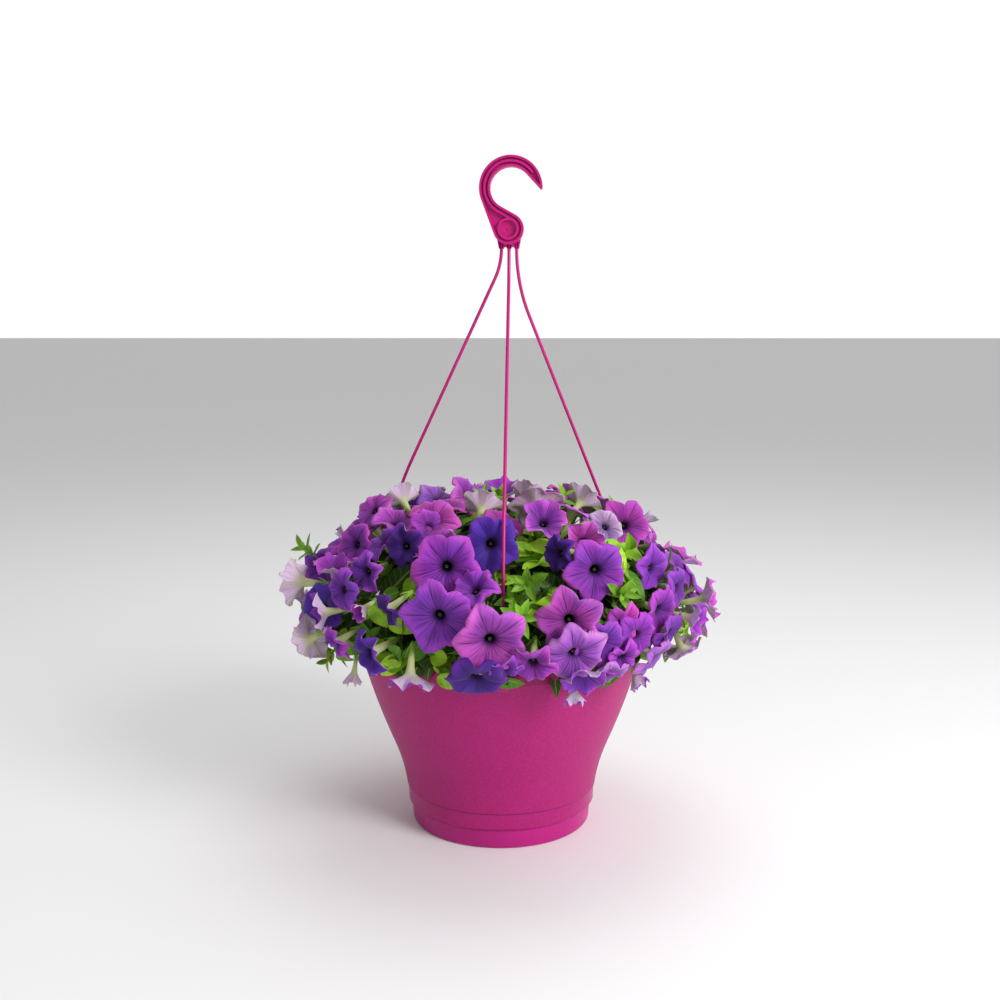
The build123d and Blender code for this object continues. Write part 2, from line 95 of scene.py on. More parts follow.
def add(tree, kind, inputs=(), **settings):
    """Adds a node to a tree, and returns the first of its outputs that is in use."""
    node = tree.nodes.new(kind)
    for name, value in settings.items():
        setattr(node, name, value)
    feed(node, inputs)
    return next((socket for socket in node.outputs if socket.enabled), None)


def new_material(name):
    """An empty material with its shader, and the tree that they are in."""
    material = bpy.data.materials.new(name)
    material.use_nodes = True
    tree = material.node_tree
    return material, tree, tree.nodes["Principled BSDF"]


def dress(piece, material):
    """Puts the material in every slot of a piece."""
    if not piece.data.materials:
        piece.data.materials.append(material)
    for index in range(len(piece.material_slots)):
        piece.material_slots[index].material = material


def pot_material():
    """Moulded polypropylene: matt spark grain on the wall, smooth on the collar, with a painted
    shadow line under the body's overhang.
    """
    material, tree, shader = new_material("moulded_polypropylene_spark_grain")
    place = add(tree, "ShaderNodeTexCoord").node.outputs["Object"]
    height = add(tree, "ShaderNodeSeparateXYZ", (place,)).node.outputs["Z"]
    collar_edge = (height, COLLAR_FOOT - EDGE_BLUR, COLLAR_FOOT + EDGE_BLUR)
    collar = add(tree, "ShaderNodeMapRange", collar_edge, **EASED)
    band_edge = (height, FOOT_BAND_TOP + EDGE_BLUR, FOOT_BAND_TOP - EDGE_BLUR)
    band = add(tree, "ShaderNodeMapRange", band_edge, **EASED)
    cloud = add(tree, "ShaderNodeTexNoise", {"Vector": place, "Scale": BLOTCH / FLOW_CLOUD})
    tones = {0: cloud, 6: linear(POT_COLOUR), 7: linear(POT_DEEP)}
    wall = add(tree, "ShaderNodeMix", tones, **PAINT)
    colour = add(tree, "ShaderNodeMix", {0: collar, 6: wall, 7: linear(COLLAR_COLOUR)}, **PAINT)
    sparks = {"Vector": place, "Scale": BLOTCH / SPARK_GRAIN, "Detail": 3.0, "Roughness": 0.7}
    grain = add(tree, "ShaderNodeTexNoise", sparks)
    fleck = add(tree, "ShaderNodeMapRange", (grain, 0.35, 0.75, 0.86, 1.1), **EASED)
    flecked = {0: 1.0, 6: colour, 7: fleck}
    speckled = add(tree, "ShaderNodeMix", flecked, blend_type="MULTIPLY", **PAINT)
    # painted shadow: a thin dark line at the foot band's top, where the body's overhang shades the
    # band
    above = add(tree, "ShaderNodeMath", (height, FOOT_BAND_TOP - SEAM_SHADOW_WIDTH / 2), operation="SUBTRACT")
    away = add(tree, "ShaderNodeMath", (above,), operation="ABSOLUTE")
    seam_shadow = add(tree, "ShaderNodeMapRange", (away, SEAM_SHADOW_WIDTH, SEAM_SHADOW_WIDTH / 3, 0.0, 0.55), **EASED)
    seam_shadowed = add(tree, "ShaderNodeMix", {0: seam_shadow, 6: speckled, 7: linear(SEAM_SHADOW_COLOUR)}, **PAINT)
    smooth = add(tree, "ShaderNodeMath", (collar, band), operation="MAXIMUM")
    rough = add(tree, "ShaderNodeMapRange", (smooth, 0.0, 1.0, MATT, POLISHED), **EASED)
    depth = add(tree, "ShaderNodeMapRange", (smooth, 0.0, 1.0, 1.0, 0.15), **EASED)
    relief = add(tree, "ShaderNodeMath", (grain, depth), operation="MULTIPLY")
    normal = add(tree, "ShaderNodeBump", {"Height": relief, "Distance": SPARK_DEPTH})
    feed(shader, {"Base Color": seam_shadowed, "Roughness": rough, "Normal": normal})
    feed(shader, {"Specular IOR Level": 0.3})
    return material


dress(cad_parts["pot_shell"], pot_material())


# ---- Drip saucer: a shallow dish that pushes onto the pot's foot, moulded in the same
# polypropylene from a polished tool, so it is smoother and a little brighter than the wall.
SAUCER_COLOUR = "#B4147A"
SAUCER_SATIN, SAUCER_FLOW = 0.36, 40 * MM  # roughness, and how wide the flow marks are
FLOW_DEPTH = 0.15 * MM


def smooth_plastic(name, colour, roughness, flow):
    """Polypropylene from a polished tool: even colour, with slow ripples from the moulding."""
    material, tree, shader = new_material(name)
    place = add(tree, "ShaderNodeTexCoord").node.outputs["Object"]
    ripple = add(tree, "ShaderNodeTexNoise", {"Vector": place, "Scale": BLOTCH / flow})
    cloud = add(tree, "ShaderNodeMapRange", (ripple, 0.3, 0.7, 0.93, 1.05), **EASED)
    clouded = {0: 1.0, 6: linear(colour), 7: cloud}
    tone = add(tree, "ShaderNodeMix", clouded, blend_type="MULTIPLY", **PAINT)
    fine = {"Vector": place, "Scale": BLOTCH / (flow * 0.3), "Detail": 4.0, "Roughness": 0.6}
    streak = add(tree, "ShaderNodeTexNoise", fine)
    gloss = (streak, 0.2, 0.8, roughness * 0.85, roughness * 1.2)
    rough = add(tree, "ShaderNodeMapRange", gloss, **EASED)
    normal = add(tree, "ShaderNodeBump", {"Height": streak, "Distance": FLOW_DEPTH})
    feed(shader, {"Base Color": tone, "Roughness": rough, "Normal": normal})
    feed(shader, {"Specular IOR Level": 0.35})
    return material


saucer_plastic = smooth_plastic(
    "moulded_polypropylene_satin", SAUCER_COLOUR, SAUCER_SATIN, SAUCER_FLOW
)
dress(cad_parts["drip_saucer"], saucer_plastic)


# ---- Hanger: three rods, the head that holds their ball ends, and the swivelling hook,
# all moulded in a brighter, glossier polypropylene than the pot.
HANGER_COLOUR = "#C01878"
HANGER_GLOSS, HANGER_FLOW = 0.3, 20 * MM
RODS = ("hanger_rod_front", "hanger_rod_right", "hanger_rod_left")
hanger_plastic = smooth_plastic(
    "moulded_polypropylene_gloss", HANGER_COLOUR, HANGER_GLOSS, HANGER_FLOW
)
for node_name in ("hook", "hanger_head", *RODS):
    dress(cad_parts[node_name], hanger_plastic)


# ---- Compost: damp and crumbly, made of peat-free fibre and bark, filled to just under
# the rim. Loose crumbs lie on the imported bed.
CRUMB_COUNT = 1400
CRUMB_SIZES = (0.5, 1.5)
CRUMB_SEEDS = (1, 2, 3)
CRUMB_R = 2.2  # mm, about twice a real crumb's, so that single ones show
BARK_STOPS = ((0.3, "#1A110B"), (0.55, "#35241A"), (0.75, "#4A3526"))
FLECK_COLOUR = "#6E5337"
LUMP, BIT, LUMP_DEPTH = 6 * MM, 1.6 * MM, 2.5 * MM
SOIL_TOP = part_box("compost")[1].z
SOIL_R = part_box("compost")[1].x - 5 * MM


def as_mesh(name, points, faces, values):
    """A smooth mesh with point attributes: name to (kind, array)."""
    mesh = bpy.data.meshes.new(name)
    mesh.from_pydata([tuple(p) for p in points], [], faces)
    for key, (kind, array) in values.items():
        layer = mesh.attributes.new(key, kind, "POINT")
        field = {"FLOAT_COLOR": "color", "FLOAT_VECTOR": "vector"}.get(kind, "value")
        number = np.int32 if kind == "INT" else np.float32
        layer.data.foreach_set(field, np.asarray(array, number).ravel())
    mesh.polygons.foreach_set("use_smooth", [True] * len(mesh.polygons))
    mesh.update()
    return mesh


def turn_to(facing, roll):
    """Euler angles that turn +Z to the facing direction, after a roll about it."""
    quaternion = Vector(facing).to_track_quat("Z", "Y")
    return (quaternion @ Euler((0, 0, roll)).to_quaternion()).to_euler()


def scatter_tree():
    """Geometry nodes: one shape of a collection at each point, turned, sized and chosen by
    the point's own values, made real and given one material."""
    tree = bpy.data.node_groups.new("scatter_shapes", "GeometryNodeTree")
    for name, kind in (("Points", "Geometry"), ("Shapes", "Collection"), ("Finish", "Material")):
        tree.interface.new_socket(name, in_out="INPUT", socket_type=f"NodeSocket{kind}")
    tree.interface.new_socket("Shapes", in_out="OUTPUT", socket_type="NodeSocketGeometry")
    points, shapes, finish, _ = add(tree, "NodeGroupInput").node.outputs
    attribute = "GeometryNodeInputNamedAttribute"
    turn = add(tree, attribute, {"Name": "turn"}, data_type="FLOAT_VECTOR")
    placing = {
        "Points": points,
        "Instance": add(tree, "GeometryNodeCollectionInfo", (shapes, True, True)),
        "Pick Instance": True,
        "Instance Index": add(tree, attribute, {"Name": "shape"}, data_type="INT"),
        "Rotation": add(tree, "FunctionNodeEulerToRotation", (turn,)),
        "Scale": add(tree, attribute, {"Name": "size"}, data_type="FLOAT"),
    }
    placed = add(tree, "GeometryNodeInstanceOnPoints", placing)
    real = add(tree, "GeometryNodeRealizeInstances", (placed,))
    painted = add(tree, "GeometryNodeSetMaterial", {"Geometry": real, "Material": finish})
    add(tree, "NodeGroupOutput", (painted,))
    return tree


SCATTER = scatter_tree()


def run_tree(name, mesh, tree, settings):
    """Runs a geometry node tree on a mesh and returns the result as a plain object."""
    source = bpy.data.objects.new(name + "_points", mesh)
    bpy.context.scene.collection.objects.link(source)
    modifier = source.modifiers.new("grow", "NODES")
    modifier.node_group = tree
    sockets = {s.name: s.identifier for s in tree.interface.items_tree if s.in_out == "INPUT"}
    for key, value in settings.items():
        modifier[sockets[key]] = value
    evaluated = source.evaluated_get(bpy.context.evaluated_depsgraph_get())
    result = bpy.data.meshes.new_from_object(evaluated)
    source.modifiers.remove(modifier)
    bpy.data.objects.remove(source)
    result.name = name
    piece = bpy.data.objects.new(name, result)
    bpy.context.scene.collection.objects.link(piece)
    return piece


def shape_collection(name, meshes):
    """A collection of shapes, in order, for the scatter tree."""
    collection = bpy.data.collections.new(name)
    for index, mesh in enumerate(meshes):
        collection.objects.link(bpy.data.objects.new(f"{name}_{index:02d}", mesh))
    return collection


def scatter(name, spots, collection, material):
    """Scatters shapes on spots, each {"at", "turn", "size", "shape", "tint"}."""
    values = {
        "turn": ("FLOAT_VECTOR", [tuple(s["turn"]) for s in spots]),
        "size": ("FLOAT", [s["size"] for s in spots]),
        "shape": ("INT", [s["shape"] for s in spots]),
        "tint": ("FLOAT_COLOR", [s["tint"] for s in spots]),
        "rim_tint": ("FLOAT_COLOR", [s["rim_tint"] for s in spots]),
    }
    mesh = as_mesh(name + "_spots", [s["at"] for s in spots], [], values)
    return run_tree(name, mesh, SCATTER, {"Shapes": collection, "Finish": material})


def compost_material():
    """Damp compost: dark brown with lighter bark and fibre flecks."""
    material, tree, shader = new_material("damp_compost")
    place = add(tree, "ShaderNodeTexCoord").node.outputs["Object"]
    coarse = {"Vector": place, "Scale": BLOTCH / LUMP, "Detail": 6.0, "Roughness": 0.65}
    lumps = add(tree, "ShaderNodeTexNoise", coarse)
    fine = {"Vector": place, "Scale": BLOTCH / BIT, "Detail": 3.0, "Roughness": 0.6}
    bits = add(tree, "ShaderNodeTexNoise", fine)
    base = add(tree, "ShaderNodeValToRGB", (lumps,))
    bark = base.node.color_ramp.elements
    bark.new(0.5)
    for element, (position, colour) in zip(bark, BARK_STOPS):
        element.position, element.color = position, linear(colour)
    flecks = add(tree, "ShaderNodeMapRange", (bits, 0.62, 0.7), **EASED)
    brown = add(tree, "ShaderNodeMix", {0: flecks, 6: base, 7: linear(FLECK_COLOUR)}, **PAINT)
    normal = add(tree, "ShaderNodeBump", {"Height": lumps, "Distance": LUMP_DEPTH})
    feed(shader, {"Base Color": brown, "Roughness": 0.95, "Normal": normal})
    return material


def crumb_mesh(seed):
    """One crumb: a lump of eighteen faces."""
    dice = random.Random(seed)
    around, tiers = 6, ((-0.55, 0.75), (0.35, 0.85))
    points = [(0, 0, -CRUMB_R * MM)]
    for height, reach in tiers:
        for i in range(around):
            a, r = math.tau * i / around, reach * dice.uniform(0.75, 1.2)
            place = (r * math.cos(a), r * math.sin(a), height)
            points.append(tuple(CRUMB_R * MM * c for c in place))
    points.append((0, 0, CRUMB_R * MM))
    faces = []
    for i in range(around):
        n = (i + 1) % around
        faces.append((0, 1 + n, 1 + i))
        faces.append((1 + i, 1 + n, 1 + around + n, 1 + around + i))
        faces.append((1 + around + i, 1 + around + n, 1 + 2 * around))
    return as_mesh(f"crumb_{seed}", points, faces, {})


def crumb_spots():
    """Crumbs spread evenly over the bed, half sunk in it."""
    dice = random.Random(5)
    spots = []
    for _ in range(CRUMB_COUNT):
        a, r = dice.uniform(0, math.tau), SOIL_R * math.sqrt(dice.random())
        turn = [dice.uniform(0, math.tau) for _ in range(3)]
        grey = [dice.uniform(0.6, 1.4)] * 3 + [1.0]
        spot = {"at": (r * math.cos(a), r * math.sin(a), SOIL_TOP), "turn": turn}
        spot |= {"size": dice.uniform(*CRUMB_SIZES), "shape": dice.randrange(len(CRUMB_SEEDS))}
        spots.append(spot | {"tint": grey, "rim_tint": grey})
    return spots


soil = compost_material()
dress(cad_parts["compost"], soil)
crumb_shapes = shape_collection("crumb_shapes", [crumb_mesh(seed) for seed in CRUMB_SEEDS])
crumbs = scatter("compost_crumbs", crumb_spots(), crumb_shapes, soil)
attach(crumbs, "basket")


# ---- Plants: the growth of three petunias makes one mound over the rim. Leaves and flowers
# are scattered from points, which Geometry Nodes turn into real shapes.
MOUND_R = cad_box[1][0]
MOUND_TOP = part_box("petunia_flowers_back")[1].z
MOUND_WIDEST = 228 * MM
MOUND_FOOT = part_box("petunia_flowers_back")[0].z
MOUND_FOOT_R = 172 * MM
DOME_LEAN, SKIRT_LEAN = 0.6, 0.8  # how far growth leans out on top, and down at the foot
PLANTS = {"front_right": -29.5, "back": 90.5, "front_left": -149.5}  # azimuth of each


def mound_point(azimuth, lift, inset):
    """A point under the mound's surface, and the surface's outward direction there. Azimuth
    is in degrees about Z, and lift runs from -90 at the foot over 0 at the widest to 90."""
    a, l = math.radians(azimuth), math.radians(lift)
    if lift >= 0:
        r = (MOUND_R - inset) * math.cos(l)
        z = MOUND_WIDEST + (MOUND_TOP - inset - MOUND_WIDEST) * math.sin(l)
        level = math.cos(l) * DOME_LEAN
        out = Vector((level * math.cos(a), level * math.sin(a), math.sin(l)))
    else:
        r = MOUND_R - inset - (MOUND_R - MOUND_FOOT_R) * math.sin(l) ** 2
        z = MOUND_WIDEST + (MOUND_WIDEST - MOUND_FOOT) * math.sin(l)
        out = Vector((math.cos(a), math.sin(a), SKIRT_LEAN * math.sin(l)))
    return Vector((r * math.cos(a), r * math.sin(a), z)), out.normalized()


def front_point(side, up, inset):
    """A point under the mound's surface, at a place across and up the front, in metres."""
    if up >= MOUND_WIDEST:
        share = (up - MOUND_WIDEST) / (MOUND_TOP - inset - MOUND_WIDEST)
        r = (MOUND_R - inset) * math.sqrt(max(1 - share**2, 0.0))
    else:
        share = (MOUND_WIDEST - up) / (MOUND_WIDEST - MOUND_FOOT)
        r = MOUND_R - inset - (MOUND_R - MOUND_FOOT_R) * share**2
    return Vector((side, -math.sqrt(max(r**2 - side**2, 0.0)), up))


def plant_of(point):
    """The plant that a point belongs to, by its azimuth."""
    azimuth = math.degrees(math.atan2(point[1], point[0]))
    return min(PLANTS, key=lambda name: abs((azimuth - PLANTS[name] + 180) % 360 - 180))


# ---- Petunia flowers: a green tube that opens into five broad pointed petals, thin and
# velvety. The throat is nearly black with pale stamens in it, a dark rib runs from it to each
# tip, and the backs and tubes are pale and veined. Each flower grows out of its plant.
PETALS = 5
TUBE_LENGTH = 26.0  # mm, for a flower 52 mm across
TUBE_R = 1.6
THROAT_R = 3.6
FUNNEL = 3.0  # depth of the funnel round the throat
FACE_R = 26.0
PETAL_THICKNESS = 0.5
STAMEN_R, STAMEN_RING = 0.45, 0.8
THROAT_AT = 0.34  # share of the way from the tube's foot to the petals' edge
FACE_RISE, EDGE_FALL = 3.0, 4.5  # the face arches up from the throat, and its edge falls back
PETAL_LEAN = 2.6  # how far single petals tip forward or back
TIP_POINT = 0.05  # how far a petal's pointed tip stands out, as a share of its length
RIB_DEPTH, RIB_WIDTH = 0.7, 0.06  # the sunken midrib, its width as a share of the petal's
FACE, BACK, STAMEN = 0.0, 1.0, 2.0  # which part of the flower a point is on
FLOWER_FORMS = (
    # (name, cup, notch, ruffle, fold, squash, droop, seed)
    ("open", 1.0, 0.24, 1.1, 1.6, 1.0, 0.0, 1),
    ("star", 2.0, 0.31, 0.9, 2.2, 1.0, 0.0, 2),
    ("wavy", 0.0, 0.25, 1.9, 2.2, 0.98, 0.2, 3),
    ("cupped", 11.0, 0.27, 1.6, 2.6, 0.86, 0.0, 4),
    ("folded", 3.0, 0.3, 2.2, 4.0, 0.8, 0.5, 5),
    ("narrow", 15.0, 0.26, 1.8, 2.6, 0.55, 0.2, 6),
)
FORM = {form[0]: index for index, form in enumerate(FLOWER_FORMS)}


def flower_surface(form, around, along):
    """Rows of points of one flower's inner face, from the tube's foot to the edge, and each
    point's place in the flower as (cos, sin) times its share of the way out."""
    _, cup, notch, ruffle, fold, squash, droop, seed = form
    dice = random.Random(seed)
    lean = [dice.uniform(-1, 1) for _ in range(PETALS)]
    longer = [1 + dice.uniform(-0.1, 0.05) for _ in range(PETALS)]
    phases = [dice.uniform(0, math.tau) for _ in range(3)]
    rows, places = [], []
    for j in range(along + 1):
        v = j / along
        for i in range(around):
            a = math.tau * i / around
            off = (a / math.tau * PETALS + 0.5) % 1 - 0.5  # -0.5 to 0.5 across one petal
            k = int(a / math.tau * PETALS + 0.5) % PETALS
            middle = math.cos(math.pi * off) ** 2
            if v < THROAT_AT:
                t = v / THROAT_AT
                r = TUBE_R + (THROAT_R - TUBE_R) * t**1.6
                z = -TUBE_LENGTH * (1 - t)
            else:
                t = (v - THROAT_AT) / (1 - THROAT_AT)
                lobe = 1 - notch * abs(2 * off) ** 1.7 * t**1.3
                lobe -= TIP_POINT * (1 - math.exp(-((off / 0.09) ** 2))) * t**3
                reach = FACE_R * lobe * (1 + (longer[k] - 1) * middle)
                curl = math.sin(t * math.pi / 2)
                r = THROAT_R + (reach * squash - THROAT_R) * (t * 0.6 + curl * 0.4)
                z = cup * t**1.3 + FACE_RISE * curl - EDGE_FALL * t**3
                z += FUNNEL * (1 - math.exp(-t / 0.13))
                z -= fold * math.cos(PETALS * a) * t * (1.2 - 0.5 * t)
                z += PETAL_LEAN * lean[k] * middle * t**2
                z -= RIB_DEPTH * math.exp(-((off / RIB_WIDTH) ** 2)) * math.sin(math.pi * t)
                waves = math.sin(8 * a + phases[0]) + 0.6 * math.sin(13 * a + phases[1])
                z += ruffle * t**3 * waves
                r += ruffle * 0.3 * t**3 * math.sin(9 * a + phases[2])
                z -= droop * 10 * t**2 * (0.5 - 0.5 * math.cos(a))
            rows.append((r * math.cos(a), r * math.sin(a), z))
            places.append((v * math.cos(a), v * math.sin(a)))
    return np.array(rows) * MM, np.array(places)


def flower_mesh(form, around, along):
    """A closed flower: an inner face and a back that join at the petals' edge, and stamens."""
    inner, places = flower_surface(form, around, along)
    grid = inner.reshape(along + 1, around, 3)
    across = np.roll(grid, -1, 1) - np.roll(grid, 1, 1)
    normals = np.cross(np.gradient(grid, axis=0), across)
    normals /= np.linalg.norm(normals, axis=2, keepdims=True) + 1e-12
    back = (grid - normals * PETAL_THICKNESS * MM).reshape(-1, 3)
    count = len(inner)
    points = [tuple(p) for p in np.vstack([inner, back])]
    marks = [(x, y, FACE) for x, y in places] + [(x, y, BACK) for x, y in places]
    faces = []
    for j in range(along):
        for i in range(around):
            n = (i + 1) % around
            a, b = j * around + i, j * around + n
            c, d = b + around, a + around
            faces.append((a, d, c, b))
            faces.append((count + a, count + b, count + c, count + d))
    edge = along * around
    for i in range(around):
        n = (i + 1) % around
        faces.append((edge + i, count + edge + i, count + edge + n, edge + n))
    faces.append(tuple(range(around)))
    faces.append(tuple(count + i for i in reversed(range(around))))
    for k in range(PETALS):
        a = math.tau * (k + 0.5) / PETALS
        centre = Vector((STAMEN_RING * math.cos(a), STAMEN_RING * math.sin(a), -1.5))
        first = len(points)
        for step in ((1, 0, 0), (0, 1, 0), (-1, 0, 0), (0, -1, 0), (0, 0, 1.4), (0, 0, -1.4)):
            points.append(tuple((centre + Vector(step) * STAMEN_R) * MM))
            marks.append((0.0, 0.0, STAMEN))
        for i in range(4):
            n = (i + 1) % 4
            faces.append((first + i, first + n, first + 4))
            faces.append((first + n, first + i, first + 5))
    return as_mesh("flower_" + form[0], points, faces, {"petal_place": ("FLOAT_VECTOR", marks)})


VEIN_FAN, VEIN_SCALE = 7.0, 2.4  # veins are about 1 mm apart halfway out
VEIN_DEPTH = 0.15 * MM
FLUSH, SHADING = 12 * MM, 22 * MM  # patches of rim colour, and of bluer colour


def petal_material():
    """Thin velvety petal: tinted face that turns pinker to the edge, dark ribs and throat, and
    a pale veined back."""
    material, tree, shader = new_material("petunia_petal")
    tint = add(tree, "ShaderNodeAttribute", attribute_name="tint")
    rim_tint = add(tree, "ShaderNodeAttribute", attribute_name="rim_tint")
    mark = add(tree, "ShaderNodeAttribute", attribute_name="petal_place").node.outputs["Vector"]
    x, y, part = add(tree, "ShaderNodeSeparateXYZ", (mark,)).node.outputs
    angle = add(tree, "ShaderNodeMath", (y, x), operation="ARCTAN2")
    square = add(tree, "ShaderNodeMath", (y, y), operation="MULTIPLY")
    squares = add(tree, "ShaderNodeMath", (x, x, square), operation="MULTIPLY_ADD")
    way = add(tree, "ShaderNodeMath", (squares,), operation="SQRT")
    turns = add(tree, "ShaderNodeMath", (angle, float(PETALS)), operation="MULTIPLY")
    lobe = add(tree, "ShaderNodeMath", (turns,), operation="COSINE")
    # veins: noise stretched along the way out, so that it runs in lines from the throat
    spokes = add(tree, "ShaderNodeMath", (angle, VEIN_FAN), operation="MULTIPLY")
    fan = add(tree, "ShaderNodeCombineXYZ", (spokes, way, part))
    lines = {"Vector": fan, "Scale": VEIN_SCALE, "Detail": 4.0, "Distortion": 0.5}
    veins = add(tree, "ShaderNodeTexNoise", lines)
    place = add(tree, "ShaderNodeTexCoord").node.outputs["Object"]
    cloud = add(tree, "ShaderNodeTexNoise", {"Vector": place, "Scale": BLOTCH / FLUSH})
    patches = {"Vector": place, "Scale": BLOTCH / SHADING, "Detail": 1.0}
    shade = add(tree, "ShaderNodeTexNoise", patches)
    ranges = (
        (way, 0.55, 0.98),  # outer: towards the edge
        (cloud, 0.3, 0.7, 0.35, 1.0),  # flushed: where the rim colour reaches in
        (shade, 0.48, 0.66, 0.0, 0.4),  # bluer
        (veins, 0.5, 0.66, 0.0, 0.45),  # thin veins over the whole face
        (lobe, 0.972, 0.998, 0.0, 0.8),  # middle: a line down each petal
        (way, 1.0, 0.6),  # fading: that line's end
        (way, 0.85, THROAT_AT),  # near: towards the throat
        (veins, 0.35, 0.62, 0.15, 0.8),  # broad veins round the throat
        (way, THROAT_AT + 0.1, THROAT_AT - 0.08),  # throat
        (veins, 0.48, 0.62, 0.0, 0.4),  # back veins
        (lobe, 0.9, 0.99, 0.0, 0.6),  # back ribs
        (way, THROAT_AT + 0.22, THROAT_AT - 0.06),  # tube
        (way, THROAT_AT - 0.12, 0.06),  # foot of the tube
        (part, 0.4, 0.6),  # back
        (part, 1.4, 1.6),  # stamens
    )
    masks = [add(tree, "ShaderNodeMapRange", row, **EASED) for row in ranges]
    outer, flushed, bluer, thin, middle, fading, near, broad, throat = masks[:9]
    back_veins, back_ribs, tube, tube_foot, back, stamens = masks[9:]
    edge = add(tree, "ShaderNodeMath", (outer, flushed), operation="MULTIPLY")
    midrib = add(tree, "ShaderNodeMath", (middle, fading), operation="MULTIPLY")
    spread = add(tree, "ShaderNodeMath", (near, broad), operation="MULTIPLY")
    dark_lines = add(tree, "ShaderNodeMath", (midrib, spread), operation="MAXIMUM")
    deep = add(tree, "ShaderNodeMix", {0: 0.75, 6: tint, 7: linear("#2A0F66")}, **PAINT)
    face_coats = (
        (edge, rim_tint),
        (bluer, linear("#5430A6")),
        (thin, deep),
        (dark_lines, linear("#260A48")),
        (throat, linear("#24083E")),
    )
    back_coats = (
        (0.72, linear("#E2CCDC")),
        (back_veins, linear("#8C6AA4")),
        (back_ribs, linear("#B4B67C")),
        (tube, linear("#BFC48C")),
        (tube_foot, linear("#86AE48")),
    )
    face, underside = tint, tint
    for amount, coat in face_coats:
        face = add(tree, "ShaderNodeMix", {0: amount, 6: face, 7: coat}, **PAINT)
    for amount, coat in back_coats:
        underside = add(tree, "ShaderNodeMix", {0: amount, 6: underside, 7: coat}, **PAINT)
    colour = add(tree, "ShaderNodeMix", {0: back, 6: face, 7: underside}, **PAINT)
    colour = add(tree, "ShaderNodeMix", {0: stamens, 6: colour, 7: linear("#77734E")}, **PAINT)
    relief = {"Height": veins, "Distance": VEIN_DEPTH, "Strength": 0.6}
    feed(shader, {"Base Color": colour, "Normal": add(tree, "ShaderNodeBump", relief)})
    feed(shader, {"Roughness": 0.65, "Sheen Weight": 0.06, "Specular IOR Level": 0.2})
    return material


# Petal colours: near the middle, and towards the edge.
FACE_TINTS = {
    "violet": ("#8638B8", "#B44CCA"),
    "blue": ("#4E239E", "#7030B0"),
    "purple": ("#9E38BA", "#CA50CA"),
    "magenta": ("#B436AC", "#D650C0"),
    "pink": ("#C048BC", "#DC6ACC"),
    "lilac": ("#9E58C0", "#C680D0"),
    "dark": ("#3E187C", "#622492"),
    "pale": ("#BA92BE", "#D8BED0"),
}
# Flowers on the side that is mostly seen: across and up in mm, the way the face looks
# (round to the right and upwards, in degrees), width in mm, form and colour.
FRONT_FLOWERS = (
    (-130, 325, -35, 40, 50, "wavy", "pink"),
    (-100, 334, -150, 30, 48, "cupped", "pale"),
    (-65, 325, -10, 40, 60, "wavy", "pink"),
    (-90, 308, -20, 10, 56, "folded", "dark"),
    (-50, 297, -5, 5, 74, "open", "purple"),
    (-10, 313, 5, 8, 64, "wavy", "blue"),
    (-142, 300, -40, 15, 52, "open", "purple"),
    (-125, 286, -35, -5, 54, "folded", "violet"),
    (-196, 262, -112, 0, 58, "cupped", "pale"),
    (-182, 218, -130, -30, 50, "wavy", "pale"),
    (-165, 245, -75, -5, 50, "cupped", "violet"),
    (-55, 260, -10, -8, 74, "open", "violet"),
    (-10, 242, 8, -8, 74, "open", "pink"),
    (-125, 258, -40, -20, 36, "narrow", "purple"),
    (-100, 262, -60, -30, 50, "folded", "dark"),
    (-118, 220, -50, -15, 62, "folded", "blue"),
    (-82, 205, -10, -70, 54, "cupped", "violet"),
    (-22, 208, 0, -42, 68, "wavy", "dark"),
    (-140, 188, -60, -80, 36, "narrow", "pale"),
    (40, 326, 15, 40, 56, "cupped", "pink"),
    (25, 338, 150, 40, 52, "cupped", "pale"),
    (80, 332, 140, 30, 50, "cupped", "pale"),
    (124, 314, 20, 20, 62, "star", "magenta"),
    (76, 312, 10, 18, 50, "cupped", "pink"),
    (55, 306, -50, 0, 50, "folded", "dark"),
    (86, 292, 10, 0, 66, "open", "purple"),
    (142, 285, 45, 0, 50, "open", "violet"),
    (60, 256, -5, -2, 68, "star", "pink"),
    (64, 228, 12, -22, 68, "wavy", "lilac"),
    (28, 222, -5, -30, 60, "folded", "purple"),
    (108, 248, 25, -12, 56, "folded", "magenta"),
    (145, 253, 50, -10, 56, "open", "purple"),
    (155, 230, 55, -25, 54, "wavy", "violet"),
    (178, 240, 65, -10, 50, "cupped", "purple"),
    (196, 248, 78, 10, 54, "cupped", "pink"),
    (140, 210, 60, -35, 56, "wavy", "lilac"),
    (108, 218, 30, -30, 52, "folded", "purple"),
    (72, 208, 10, -45, 52, "cupped", "violet"),
    (66, 186, 0, -75, 40, "narrow", "violet"),
    (125, 192, 40, -50, 40, "narrow", "purple"),
    (-70, 322, 30, 35, 46, "wavy", "purple"),
    (-20, 334, 170, 40, 50, "cupped", "pale"),
    (-148, 268, -45, 0, 50, "wavy", "violet"),
    (-152, 222, -60, -25, 50, "folded", "purple"),
    (102, 318, 30, 35, 46, "wavy", "pale"),
    (168, 264, 60, 0, 48, "wavy", "violet"),
    (88, 236, 20, -20, 54, "open", "violet"),
    (122, 236, 35, -10, 52, "wavy", "purple"),
    (96, 204, 20, -50, 46, "wavy", "lilac"),
    (2, 218, 12, -45, 48, "folded", "violet"),
)
FRONT_INSET, OUTER_INSET = 14 * MM, 2 * MM
OUTER_SIDE = 170  # mm; beyond this, flowers stand out from the mound
BACK_FLOWERS = 110
BACK_INSET = (12, 24)
BACK_TURN = 0.45  # how far the others turn away from straight outwards
BACK_WIDTHS = (44, 64)
BACK_FORMS = ("open", "wavy", "star", "cupped", "folded", "wavy", "open")
BACK_TINTS = ("violet", "purple", "magenta", "pink", "lilac", "blue", "violet", "purple", "pink")
FLOWER_SPACING, FRONT_SPACING = 31 * MM, 35 * MM
LOWEST_FLOWER = 204 * MM
